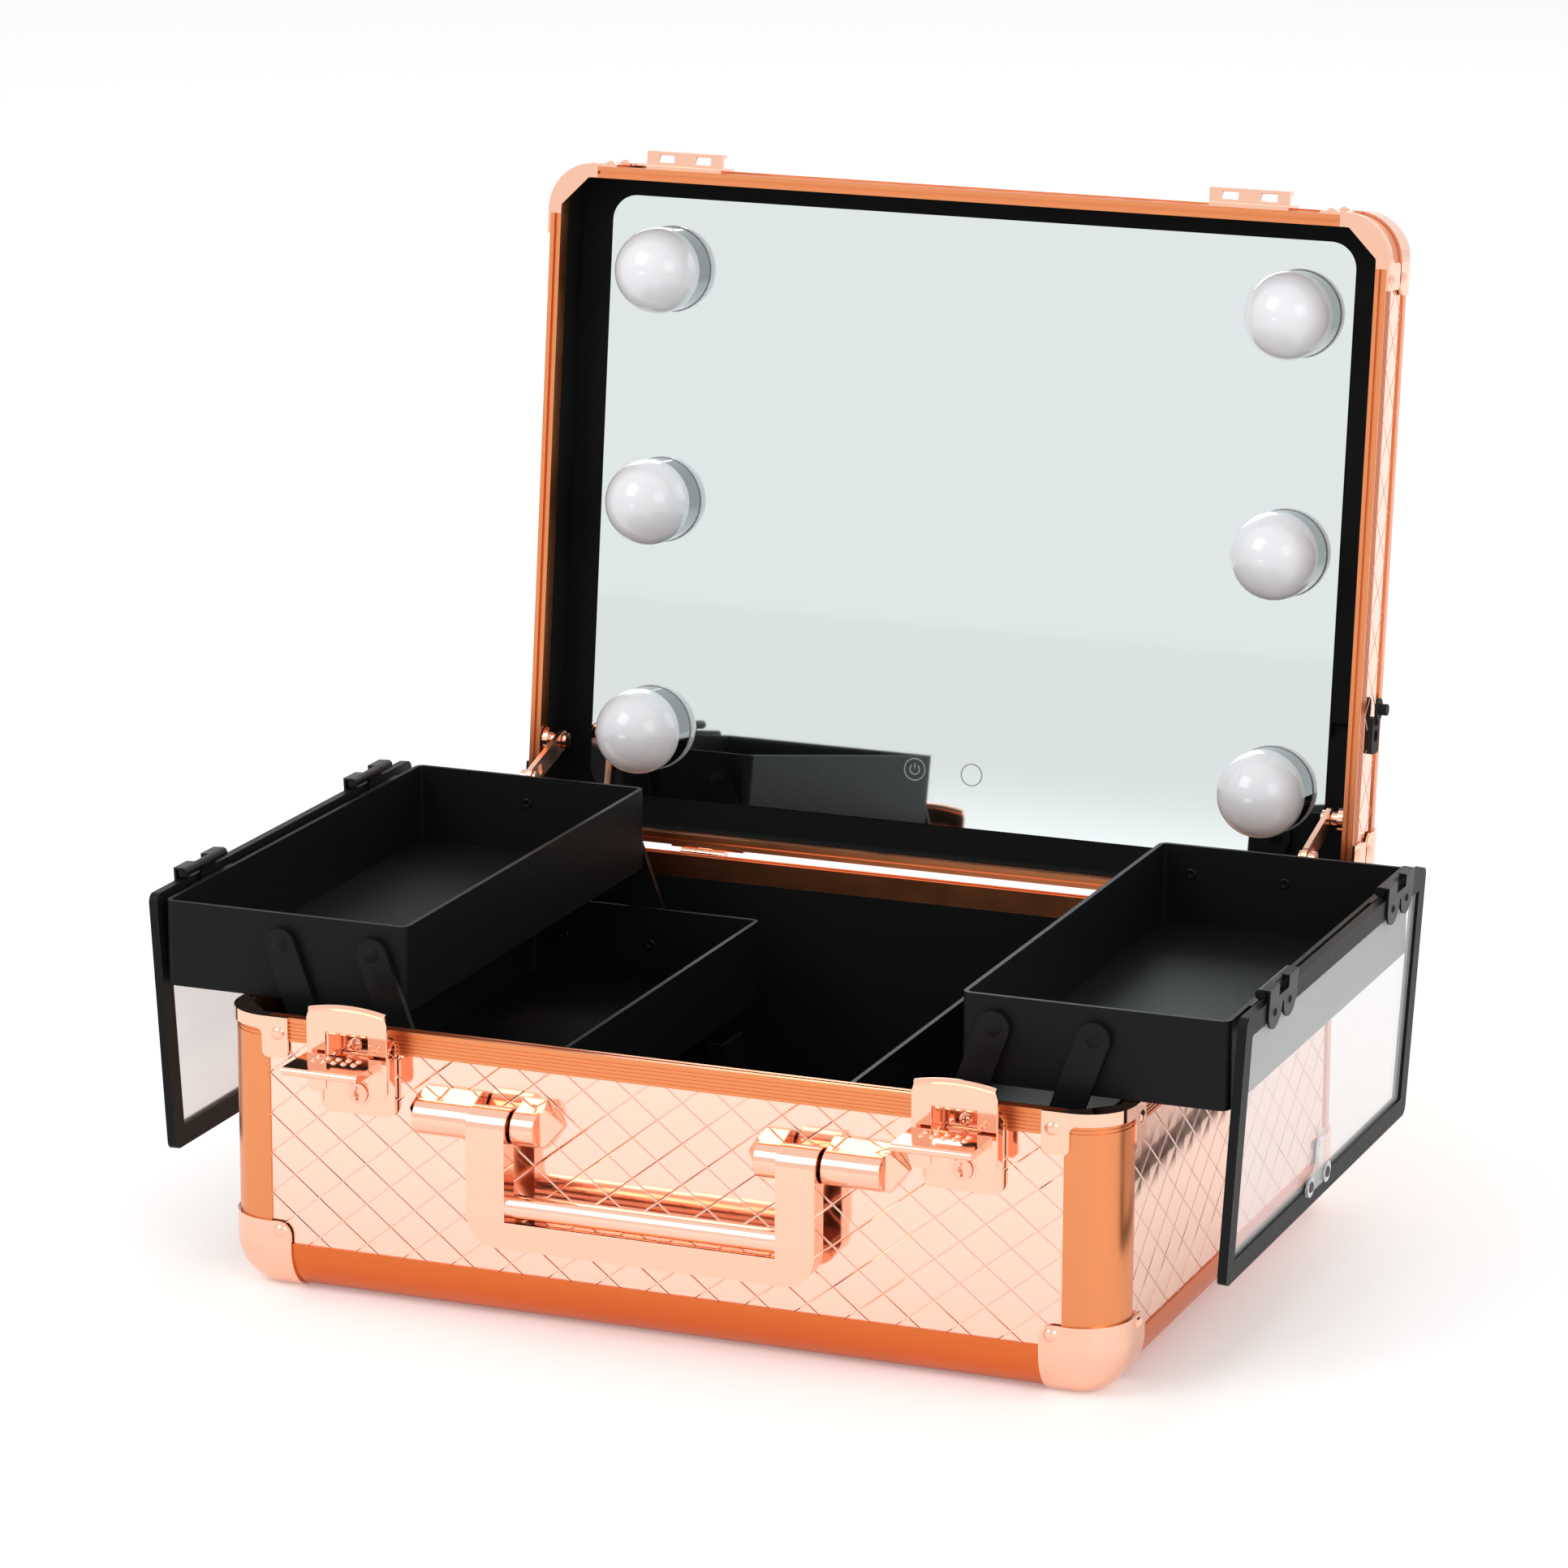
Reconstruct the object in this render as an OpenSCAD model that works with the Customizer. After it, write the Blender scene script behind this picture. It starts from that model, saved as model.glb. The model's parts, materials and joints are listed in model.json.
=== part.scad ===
// Makeup train case, open, with two pairs of fold-out trays and a lit mirror lid.
// Millimetres, +Z up, front towards -Y, origin at the middle of the footprint.

/* [Case] */
// Overall width, left to right
case_w = 400; // [392:1:440]
// Overall depth of base and lid
case_d = 310; // [308:1:330]
// Height of the base up to its rim
base_h = 122.5; // [122:0.25:124]
// Depth of the lid from its mouth to its back
lid_h = 51; // [50:0.5:60]
// Outer radius of the rounded edge rails
edge_r = 20.4; // [19:0.1:21]
// Height of the ribbed rail round the base mouth
base_rim_h = 10.4; // [9:0.2:11]
// Height of the rail round the lid mouth
lid_rim_h = 8.5; // [7.5:0.1:9]
// Angle the lid stands open
lid_open = 96.6; // [96:0.1:100]

/* [Mirror] */
// Width of the mirror
mirror_w = 358; // [340:1:360]
// Height of the mirror
mirror_d = 278.6; // [270:0.1:279]
// Distance of the mirror behind the lid mouth
mirror_in = 24.3; // [24:0.1:26]
// Diameter of a bulb
bulb_d = 40; // [34:0.5:41]
// Spacing of the bulbs along each side
bulb_pitch = 107.2; // [90:0.1:108]
// Distance between the two columns of bulbs
bulb_cols = 303.4; // [290:0.2:306]

/* [Trays] */
// Width of one tray
tray_w = 114; // [108:1:115]
// Depth of one upper tray, front to back
tray_d = 254; // [244:1:255]
// Height of a tray
tray_h = 37.4; // [34:0.1:37.4]
// Depth of one lower tray, front to back
low_tray_d = 240; // [230:1:241]
// Wall of a tray
tray_t = 2; // [1.6:0.1:2.4]
// Width of a tray link
link_w = 14; // [10:0.5:14]
// Length of a tray link between its end pivots
link_len = 124.4; // [124:0.1:124.6]
// Lean of the links when the trays are out
link_lean = 20; // [19.8:0.1:20.2]
// Thickness of a tray flap
flap_t = 4; // [3:0.1:4.2]
// Border of a flap round its window
flap_border = 9; // [7:0.5:12]

/* [Handle] */
// Distance between the middles of the handle arms
handle_span = 138; // [130:1:144]
// Width of a handle arm
handle_arm_w = 17.3; // [13:0.1:18]
// Drop of the handle below its pivot
handle_drop = 50; // [48:1:62]
// Diameter of the handle barrels
handle_barrel_d = 15; // [13:0.5:16]
// Diameter of the grip rod
grip_d = 10; // [8:0.5:11]

/* [Latches] */
// Distance of a latch from the middle
latch_x = 135; // [130:1:136]
// Width of a latch lever
lever_w = 34.5; // [30:0.5:36]
// Length of a latch lever from its pivot
lever_len = 35; // [30:0.5:36]
// Height of a latch bail
bail_h = 39; // [36:0.5:40]

/* [Hidden] */
$fn = 64;
half_w = case_w / 2;
half_d = case_d / 2;
lid_top = base_h + lid_h;
ext_t = 2; // wall of the edge rails
flat_leg = 2.2; // flat lip of a rail beyond its round
leg = edge_r + flat_leg;
recess = 0.8; // panels sit this far behind the rails
core_in = 4.7; // depth of the inner face of a panel
lining_t = 1;
rail_w = 5.2; // width of the mouth rails
lining_in = core_in + lining_t;
mouth_r = edge_r - rail_w;
run = 0.06; // running fit of pins
play = 0.4; // loose clearance between moving parts
far = 60;

// hinges of the lid
hinge_y = half_d + 2.97;
hinge_z = base_h - 1.05;
hinge_x = half_w - 90.7;
knuckle_r = 2.7;
knuckle_w = 7.2;
hinge_pin_r = 1.3;

// corner fittings
plate_t = 1.2;
cap_x = 32;
cap_y = 35;
cap_z = 32;
cap_r = 6; // rounded upper corners of a cap
cap_seat = 0.1; // caps clear the rails by this
bracket_run = 32;
bracket_band = 5.5; // height of a mouth bracket over the corner
bracket_lug = 12; // width of the lug under a mouth bracket
bracket_drop = 12.4;
gusset_cut = 13.2; // length of the rail beside a gusset
gusset_t = 1.5;
cover_t = 0.8;
groove_deep = 1.6;
rib_pitch = 1.6;
lug_r = 7;
rivet_r = 3;
rivet_h = 1.5;
cap_rivet_in = 27; // rivet of a cap from its corner
cap_rivet_z = 28;
rim_rivet_in = 27.5;

// trays and links
tray_in = 19; // middle of an open upper tray from the side of the case
tray_x = half_w - tray_in;
tray_out_x = tray_x + tray_w / 2;
tray_y = -4;
tray_front = tray_y - tray_d / 2;
tray_back = tray_y + tray_d / 2;
tray_z = base_h + 0.3;
tray_r = 4; // corners of a tray
pivot_in = 15; // inner pivot from the tray's inner side
pivot_up = 24.7; // upper pivots above the underside of an upper tray
pivot_gap = 43; // distance between the two links of a set
up_inner_x = tray_x - tray_w / 2 + pivot_in;
up_z = tray_z + pivot_up;
link_dx = link_len * sin(link_lean);
link_dz = link_len * cos(link_lean);
low_x = up_inner_x - link_dx;
low_z = up_z - link_dz;
low_tray_z = low_z + link_dz / 2 - 20.5;
low_tray_x = tray_x - link_dx - 17.5;
link_t = 3;
link_r = link_w / 2;
link_gap = 0.6;
link_pin_r = 2.2;
link_head_r = 3.4;
link_front = tray_front - link_gap;
link_back = tray_back + link_gap;

// tray flaps
flap_axis_x = tray_out_x + 4.4;
flap_axis_z = tray_z + tray_h + 4.9;
flap_face = 3.4; // outer face of a flap beyond its hinge axis
flap_lean = 3.4;
flap_start = 3;
flap_end = tray_w + 2.7;
flap_barrel_r = 2.2;
flap_pin_r = 1;
leaf_t = 1; // thickness of a hinge leaf
flap_hinge_l = 38;
flap_hinge_front = tray_front + 45;
flap_hinge_back = tray_back - 42;
clasp_y = tray_y - 6;

// lid stays
stay_x = half_w - 13.3;
stay_t = 2.4;
stay_lid_y = half_d + 16;
stay_lid_z = base_h + 43;
stay_angle = 15.5; // below the horizontal at rest
stay_pin_y = half_d - 18.5;
stay_pin_z = base_h + 33.18;
stay_pin_r = 1.5;
stay_r = 4.6;
stay_slot_from = 26.6;
stay_slot_to = 37.8;
stay_slot_w = 5.1;
slide_x = stay_x + stay_t / 2 + play;
slide_t = 3;
slide_r = 3; // half width of the sliding bar
slide_low = stay_pin_z - 97;
guide_low = edge_r + lining_t;
guide_top = base_h - 14.5;

// latches
lever_y = -half_d - 4.5;
lever_z = base_h - 14.5;
lever_root = 8; // half width of a lever between its ears
ear_t = 1;
ear_r = 4;
lever_pin_r = 1.5;
bail_arm = 7; // bail pin ahead of the lever pin
bail_t = 2;
bail_in = lever_root + ear_t + 0.5;
bail_out = bail_in + 8.75;
latch_w = bail_out - 1; // half width of a latch plate
flange_t = 2.4; // height of a latch plate's side flanges
latch_plate_t = 1.6;
paddle_from = 10.5; // start of a lever's paddle from the lever pin
paddle_up = 2.2;
paddle_t = 3.4;
lock_z = lever_z - 14;
lock_r = 4.5;

// handle
handle_y = -half_d - 8.5;
handle_z = base_h - 32.5;
handle_pin_r = 3;
arm_x = handle_span / 2;
barrel_in = arm_x - 20;
barrel_out = arm_x + 35;
arm_gap = 0.8;
handle_t = 10; // thickness of the handle frame
handle_bar_h = 11.6;
handle_fwd = 2.4; // knuckle of an arm ahead of its pivot
handle_knuckle_r = handle_barrel_d / 2 + 1.1;
handle_front = handle_y - handle_fwd - handle_knuckle_r;
grip_z = handle_z - handle_drop + handle_bar_h + grip_d / 2 + 1;
grip_y = handle_front + handle_t / 2;

// mirror and bulbs, in closed lid heights
mirror_y = -2.3;
mirror_z = base_h + mirror_in;
mirror_t = 3;
bulb_y = -1.1;
bulb_z = mirror_z - 9;
bulb_cut = mirror_z - 7.3;
collar_wall = 1.4;

// power inlet on the lid's right side
inlet_y = half_d / 2 - 1.5;
inlet_z = base_h + 22.5;
inlet_r = 4.5;

// ---- helpers ----

module left_too() {
  children();
  mirror([1, 0, 0]) children();
}

module back_too() {
  children();
  mirror([0, 1, 0]) children();
}

module four() {
  left_too() back_too() children();
}

module opened() {
  translate([0, hinge_y, hinge_z])
    rotate([-lid_open, 0, 0])
      translate([0, -hinge_y, -hinge_z]) children();
}

// a box from one corner to the opposite one
module block(from, to) {
  translate(from) cube([to[0] - from[0], to[1] - from[1], to[2] - from[2]]);
}

module round_rect(hx, hy, r) {
  square([2 * (hx - r), 2 * hy], center = true);
  square([2 * hx, 2 * (hy - r)], center = true);
  for (x = [-1, 1], y = [-1, 1]) translate([x * (hx - r), y * (hy - r)]) circle(r);
}

// outline of the case drawn in by a distance
module case_outline(inset) {
  round_rect(half_w - inset, half_d - inset, edge_r - inset);
}

module lining_outline(inset) {
  round_rect(half_w - core_in - inset, half_d - core_in - inset, 14 - inset);
}

module dome(r, h) {
  ball = (r * r + h * h) / (2 * h);
  intersection() {
    translate([0, 0, h - ball]) sphere(ball);
    cylinder(r = r, h = h);
  }
}

// along X from a to b, at y and z
module rod_x(a, b, y, z, r) {
  translate([a, y, z]) rotate([0, 90, 0]) cylinder(r = r, h = b - a);
}

module rod_y(a, b, x, z, r) {
  translate([x, b, z]) rotate([90, 0, 0]) cylinder(r = r, h = b - a);
}

// ---- shell pieces shared by base and lid ----

// quarter-round rail section, outer corner at the origin
module rail_section() {
  intersection() {
    difference() {
      translate([edge_r, edge_r]) circle(edge_r);
      translate([edge_r, edge_r]) circle(edge_r - ext_t);
    }
    square(edge_r);
  }
  translate([edge_r, 0]) square([flat_leg, ext_t]);
  translate([0, edge_r]) square([ext_t, flat_leg]);
}

module posts(z0, z1) {
  four() translate([-half_w, -half_d, z0]) linear_extrude(z1 - z0) rail_section();
}

module edge_rails() {
  back_too() translate([-half_w + edge_r, -half_d, 0]) rotate([90, 0, 90])
    linear_extrude(case_w - 2 * edge_r) rail_section();
  left_too() translate([-half_w, half_d - edge_r, 0]) rotate([90, 0, 0])
    linear_extrude(case_d - 2 * edge_r) rail_section();
}

// front panel between the rails, face at y = -half
module wall_panel(half, side, z0, z1, tuck0, tuck1) {
  block([-side + leg, -half + recess, z0], [side - leg, -half + ext_t, z1]);
  block([-side + edge_r, -half + ext_t, z0 - tuck0], [side - edge_r, -half + core_in, z1 + tuck1]);
}

module wall_panels(z0, z1, tuck0, tuck1) {
  back_too() wall_panel(half_d, half_w, z0, z1, tuck0, tuck1);
  left_too() rotate([0, 0, 90]) wall_panel(half_w, half_d, z0, z1, tuck0, tuck1);
}

module flat_panel() {
  block([-half_w + leg, -half_d + leg, recess], [half_w - leg, half_d - leg, ext_t]);
  block([-half_w + edge_r, -half_d + edge_r, ext_t], [half_w - edge_r, half_d - edge_r, core_in]);
}

// mouth rail with ribs outside and a groove in its mouth face, seated under the corner covers
module mouth_rail(z0, z1, mouth_z) {
  ribs = floor((z1 - z0 - 3) / rib_pitch) + 1;
  difference() {
    translate([0, 0, z0]) linear_extrude(z1 - z0) difference() {
      case_outline(0);
      case_outline(rail_w);
    }
    translate([0, 0, mouth_z - groove_deep]) linear_extrude(2 * groove_deep) difference() {
      case_outline(2);
      case_outline(3.4);
    }
    translate([0, 0, mouth_z - cover_t]) linear_extrude(2 * cover_t) four() intersection() {
      corner_sector();
      case_outline(-1);
    }
    for (k = [0:ribs - 1]) translate([0, 0, z0 + 1.4 + rib_pitch * k]) linear_extrude(0.8) difference() {
      case_outline(-1);
      case_outline(0.45);
    }
  }
}

// rounded corner of the shell grown by a distance, corner at the origin
module corner_block(grow, lx, ly, lz) {
  translate([edge_r, edge_r, edge_r]) sphere(edge_r + grow);
  rod_x(edge_r, lx, edge_r, edge_r, edge_r + grow);
  rod_y(edge_r, ly, edge_r, edge_r, edge_r + grow);
  translate([edge_r, edge_r, edge_r]) cylinder(r = edge_r + grow, h = lz - edge_r);
  block([edge_r, edge_r, -grow], [lx, ly, lz]);
  block([edge_r, -grow, edge_r], [lx, ly, lz]);
  block([-grow, edge_r, edge_r], [lx, ly, lz]);
}

// rounds off the free upper corner of a cap's plate
module cap_cut(x) {
  translate([x - cap_r, 0, cap_z - cap_r]) rotate([90, 0, 0]) linear_extrude(4 * plate_t, center = true)
    difference() {
      square(2 * cap_r);
      circle(cap_r);
    }
}

module corner_cap() {
  difference() {
    corner_block(plate_t, cap_x, cap_y, cap_z);
    for (k = [[1, 0, 0], [0, 1, 0], [0, 0, 1]]) intersection() {
      corner_block(cap_seat, far, far, far);
      translate(edge_r * k - plate_t * 2 * ([1, 1, 1] - k)) cube(2 * far);
    }
    translate([edge_r, edge_r, edge_r]) sphere(edge_r - ext_t);
    cap_cut(cap_x);
    mirror([1, -1, 0]) cap_cut(cap_y);
  }
}

module corner_caps() {
  four() translate([-half_w, -half_d, 0]) corner_cap();
}

// a rivet on the front and on the side of each corner
module corner_rivets(inset, z) {
  four() {
    translate([half_w - inset, -half_d - plate_t, z]) rotate([90, 0, 0]) dome(rivet_r, rivet_h);
    translate([half_w + plate_t, -half_d + inset, z]) rotate([0, 90, 0]) dome(rivet_r, rivet_h);
  }
}

module corner_sector() {
  translate([half_w - edge_r - flat_leg, -half_d - far]) square([far, far + edge_r + flat_leg]);
}

// lug under the end of a mouth bracket, with rounded lower corners and a fillet to the bracket
module bracket_lug(from, z) {
  round_r = 3;
  translate([half_w - from, -half_d, 0]) rotate([90, 0, 0]) linear_extrude(plate_t) {
    translate([0, z - bracket_drop + round_r]) square([bracket_lug, bracket_drop - round_r]);
    translate([round_r, z - bracket_drop]) square([bracket_lug - 2 * round_r, bracket_drop]);
    for (x = [round_r, bracket_lug - round_r]) translate([x, z - bracket_drop + round_r]) circle(round_r);
    translate([bracket_lug, z - round_r]) difference() {
      square(round_r);
      translate([round_r, 0]) circle(round_r);
    }
  }
}

// outer plate wrapped round one rim corner, with a cover and a gusset at the mouth
module corner_bracket(z0, z1, lug_z, cover_z, gusset_z) {
  translate([0, 0, z0]) linear_extrude(z1 - z0) intersection() {
    difference() {
      round_rect(half_w + plate_t, half_d + plate_t, edge_r + plate_t);
      case_outline(0);
    }
    translate([half_w - bracket_run, -half_d - far]) square([2 * bracket_run, far + bracket_run]);
  }
  bracket_lug(bracket_run, lug_z);
  translate([half_w, -half_d, 0]) mirror([1, 1, 0]) translate([-half_w, half_d, 0]) bracket_lug(bracket_run, lug_z);
  translate([0, 0, cover_z]) linear_extrude(cover_t) intersection() {
    corner_sector();
    difference() {
      case_outline(-plate_t);
      case_outline(rail_w);
    }
  }
  translate([0, 0, gusset_z]) linear_extrude(gusset_t) intersection() {
    case_outline(rail_w);
    translate([half_w - rail_w, -half_d + rail_w]) rotate(45)
      square(gusset_cut * sqrt(2), center = true);
  }
}

// ---- base ----

module base_wall_panels() {
  color("#f6cdb8") wall_panels(leg, base_h - base_rim_h, flat_leg, 0);
}

module base_bottom_panel() {
  color("#f6cdb8") flat_panel();
}

module tub(inset, z0) {
  ch = edge_r - core_in - inset * 0.4;
  hx = half_w - core_in - inset;
  hy = half_d - core_in - inset;
  top = base_h - base_rim_h + inset;
  intersection() {
    translate([0, 0, z0]) linear_extrude(top - z0) lining_outline(inset);
    translate([0, hy, 0]) rotate([90, 0, 0]) linear_extrude(2 * hy)
      polygon([[-hx, top], [-hx, z0 + ch], [-hx + ch, z0], [hx - ch, z0], [hx, z0 + ch], [hx, top]]);
    translate([-hx, 0, 0]) rotate([90, 0, 90]) linear_extrude(2 * hx)
      polygon([[-hy, top], [-hy, z0 + ch], [-hy + ch, z0], [hy - ch, z0], [hy, z0 + ch], [hy, top]]);
  }
}

module base_lining() {
  color("#1a1a1c") difference() {
    tub(0, core_in);
    tub(lining_t, core_in + lining_t);
  }
}

module base_corner_posts() {
  color("#e08a58") posts(leg, base_h - base_rim_h);
}

module base_edge_rails() {
  color("#e08a58") edge_rails();
}

module base_rim() {
  color("#e08a58") mouth_rail(base_h - base_rim_h, base_h, base_h);
}

module base_corner_brackets() {
  color("#f0b091") four()
    corner_bracket(base_h - bracket_band, base_h, base_h - bracket_band, base_h - cover_t, base_h - gusset_t);
}

// the case stands on its bottom rails, so the caps end level with them
module base_corner_caps() {
  color("#f0b091") difference() {
    corner_caps();
    block([-half_w - far, -half_d - far, -far], [half_w + far, half_d + far, 0]);
  }
}

module base_rivets() {
  color("#f6c4aa") {
    corner_rivets(cap_rivet_in, cap_rivet_z);
    corner_rivets(rim_rivet_in, base_h - 7);
  }
}

// ---- handle ----

module handle_mount() {
  mid = (barrel_in + barrel_out) / 2;
  len = barrel_out - barrel_in;
  r = handle_barrel_d / 2;
  tip = 8;
  back = -half_d + recess;
  difference() {
    union() {
      intersection() {
        translate([mid, back, handle_z]) rotate([90, 0, 0]) linear_extrude(back - handle_y)
          polygon([[-len / 2 - tip, 0], [-len / 2, r + 3], [len / 2, r + 3], [len / 2 + tip, 0],
            [len / 2, -r - 3], [-len / 2, -r - 3]]);
        translate([mid, 0, handle_z - far]) linear_extrude(2 * far)
          polygon([[-len / 2 - tip, back], [len / 2 + tip, back], [len / 2 + tip, back - 1.5],
            [len / 2, handle_y], [-len / 2, handle_y], [-len / 2 - tip, back - 1.5]]);
        translate([0, 0, handle_z]) rotate([90, 0, 90]) linear_extrude(far * 3)
          polygon([[back, r + 3], [back - 1.5, r + 3], [handle_y, r], [handle_y, -r],
            [back - 1.5, -r - 3], [back, -r - 3]]);
      }
      rod_x(barrel_in, barrel_out, handle_y, handle_z, r);
    }
    block([arm_x - handle_arm_w / 2 - arm_gap, handle_y - far, handle_z - far],
      [arm_x + handle_arm_w / 2 + arm_gap, -half_d + far, handle_z + far]);
  }
  rod_x(barrel_in + 1, barrel_out - 1, handle_y, handle_z, handle_pin_r);
}

module handle_mounts() {
  color("#f0b091") left_too() handle_mount();
}

module handle_frame() {
  bar_low = handle_z - handle_drop;
  outer = arm_x + handle_arm_w / 2;
  inner = arm_x - handle_arm_w / 2;
  round_r = 14;
  color("#f0b091") difference() {
    union() {
      translate([0, handle_front + handle_t, 0]) rotate([90, 0, 0]) linear_extrude(handle_t) difference() {
        union() {
          translate([-outer, bar_low + round_r]) square([2 * outer, handle_z - bar_low - round_r]);
          translate([-outer + round_r, bar_low]) square([2 * (outer - round_r), handle_z - bar_low]);
          left_too() translate([outer - round_r, bar_low + round_r]) circle(round_r);
        }
        translate([-inner, bar_low + handle_bar_h]) square([2 * inner, 2 * far]);
      }
      left_too() rod_x(inner, outer, handle_y - handle_fwd, handle_z, handle_knuckle_r);
    }
    rod_x(-far * 2, far * 2, handle_y, handle_z, handle_pin_r + run);
    rod_x(-inner - 1, inner + 1, grip_y, grip_z, grip_d / 2);
  }
}

module handle_grip() {
  inner = arm_x - handle_arm_w / 2;
  color("#f6c4aa") rod_x(-inner - 1, inner + 1, grip_y, grip_z, grip_d / 2);
}

// ---- latches ----

module latch_outline(hw, low, top, r) {
  translate([-hw, low + r]) square([2 * hw, top - low - 2 * r]);
  translate([-hw + r, low]) square([2 * (hw - r), top - low]);
  for (x = [-hw + r, hw - r], z = [low + r, top - r]) translate([x, z]) circle(r);
}

module latch_plate() {
  low = lever_z - 23.5;
  top = lever_z + 11;
  difference() {
    union() {
      translate([0, -half_d, 0]) rotate([90, 0, 0]) linear_extrude(latch_plate_t) latch_outline(latch_w, low, top, 4);
      block([-latch_w + 4, -half_d, low], [latch_w - 4, -half_d + recess, base_h - base_rim_h]);
      left_too() block([latch_w - 1, -half_d - flange_t, low + 4], [latch_w, -half_d - 0.5, top - 4]);
      left_too() block([lever_root + 0.25, lever_y, lever_z - ear_r], [lever_root + 0.25 + ear_t, -half_d, lever_z + ear_r]);
      left_too() rod_x(lever_root + 0.25, lever_root + 0.25 + ear_t, lever_y, lever_z, ear_r);
      rod_y(-half_d - 2, -half_d, 0, lock_z, lock_r + 1.2);
      translate([1, -half_d - latch_plate_t, lever_z + 7]) rotate([90, 0, 0]) dome(2.8, 1.2);
    }
    rod_y(-half_d - far, -half_d - 0.6, 0, lock_z, lock_r + run);
    for (a = [0, 90]) translate([1, -half_d - latch_plate_t - 1.2, lever_z + 7]) rotate([0, a, 0])
      cube([3, 1.2, 0.7], center = true);
  }
  rod_x(-lever_root - ear_t, lever_root + ear_t, lever_y, lever_z, lever_pin_r);
}

module latch_plates() {
  color("#f0b091") left_too() translate([latch_x, 0, 0]) latch_plate();
}

// lever swung straight out, local x = 0 in its middle
module latch_lever() {
  hw = lever_w / 2;
  difference() {
    union() {
      rod_x(-lever_root, lever_root, lever_y, lever_z, 2.6);
      block([-lever_root, lever_y - paddle_from - 3, lever_z], [lever_root, lever_y, lever_z + 3]);
      rod_x(-lever_root, lever_root, lever_y - bail_arm, lever_z, 2.3);
      block([-hw, lever_y - lever_len + paddle_t / 2, lever_z + paddle_up],
        [hw, lever_y - paddle_from, lever_z + paddle_up + paddle_t]);
      rod_x(-hw, hw, lever_y - lever_len + paddle_t / 2, lever_z + paddle_up + paddle_t / 2, paddle_t / 2);
      for (i = [-2:2], j = [0, 1])
        translate([i * 4.6, lever_y - paddle_from - 5 - 5 * j, lever_z + paddle_up + paddle_t]) dome(1.5, 0.9);
    }
    rod_x(-far, far, lever_y, lever_z, lever_pin_r + run);
    rod_x(-far, far, lever_y - bail_arm, lever_z, lever_pin_r + run);
  }
}

module latch_lever_left() {
  color("#f6c4aa") translate([-latch_x, 0, 0]) latch_lever();
}

module latch_lever_right() {
  color("#f6c4aa") translate([latch_x, 0, 0]) latch_lever();
}

module latch_bail() {
  y1 = lever_y - bail_arm + bail_t / 2;
  low = lever_z - 12;
  top = low + bail_h;
  translate([0, y1, 0]) rotate([90, 0, 0]) linear_extrude(bail_t) difference() {
    latch_outline(bail_out, low, top, 2.5);
    translate([-bail_in, low - 1]) square([2 * bail_in, bail_h - 11]);
  }
  rod_x(-bail_out + 2.5, bail_out - 2.5, y1 + 0.6, top - 1.6, 1.6);
  left_too() rod_x(bail_in, bail_out, lever_y - bail_arm, lever_z, 1.8);
  rod_x(-bail_in - 1, bail_in + 1, lever_y - bail_arm, lever_z, lever_pin_r);
}

module latch_bail_left() {
  color("#f0b091") translate([-latch_x, 0, 0]) latch_bail();
}

module latch_bail_right() {
  color("#f0b091") translate([latch_x, 0, 0]) latch_bail();
}

module lock_barrel() {
  difference() {
    rod_y(-half_d - 3.2, -half_d - 0.6, 0, lock_z, lock_r);
    block([-0.6, -half_d - far, lock_z - 3], [0.6, -half_d - 1.6, lock_z + 3]);
    rod_y(-half_d - far, -half_d - 1.6, 0, lock_z, 1.6);
  }
}

module lock_barrel_left() {
  color("#c98a6c") translate([-latch_x, 0, 0]) lock_barrel();
}

module lock_barrel_right() {
  color("#c98a6c") translate([latch_x, 0, 0]) lock_barrel();
}

// ---- lid hinges ----

module hinge_base_leaf() {
  difference() {
    union() {
      left_too() rod_x(knuckle_w / 2 + 0.2, knuckle_w * 1.5, hinge_y, hinge_z, knuckle_r);
      left_too() block([knuckle_w / 2 + 0.2, half_d, hinge_z - 3], [knuckle_w * 1.5, half_d + 1.2, hinge_z]);
      block([-18, half_d, hinge_z - 32], [18, half_d + 1.2, hinge_z - 3]);
      block([-18, half_d - recess, hinge_z - 32], [18, half_d, base_h - base_rim_h]);
    }
  }
  rod_x(-knuckle_w * 1.5, knuckle_w * 1.5, hinge_y, hinge_z, hinge_pin_r);
}

module hinge_base_leaves() {
  color("#f0b091") left_too() translate([hinge_x, 0, 0]) hinge_base_leaf();
}

module hinge_lid_leaf() {
  difference() {
    union() {
      rod_x(-knuckle_w / 2, knuckle_w / 2, hinge_y, hinge_z, knuckle_r);
      block([-knuckle_w / 2, half_d, base_h], [knuckle_w / 2, half_d + 1.2, base_h + 4]);
      block([-18, half_d, base_h + 2.4], [18, half_d + 1.2, base_h + 26]);
      block([-18, half_d - recess, base_h + lid_rim_h], [18, half_d, base_h + 26]);
    }
    rod_x(-far, far, hinge_y, hinge_z, hinge_pin_r + run);
  }
}

module hinge_lid_leaves() {
  color("#f0b091") opened() left_too() translate([hinge_x, 0, 0]) hinge_lid_leaf();
}

// ---- lid ----

module lid_back_panel() {
  color("#f6cdb8") opened() translate([0, 0, lid_top]) mirror([0, 0, 1]) flat_panel();
}

module inlet_hole() {
  rod_x(half_w - 20, half_w + 20, inlet_y, inlet_z, inlet_r);
}

module lid_wall_panels() {
  color("#f6cdb8") opened() difference() {
    wall_panels(base_h + lid_rim_h, lid_top - leg, 0, flat_leg);
    inlet_hole();
  }
}

module lid_corner_posts() {
  color("#e08a58") opened() posts(base_h + lid_rim_h, lid_top - leg);
}

module lid_edge_rails() {
  color("#e08a58") opened() translate([0, 0, lid_top]) mirror([0, 0, 1]) edge_rails();
}

module lid_rim() {
  color("#e08a58") opened() mouth_rail(base_h, base_h + lid_rim_h, base_h);
}

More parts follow.
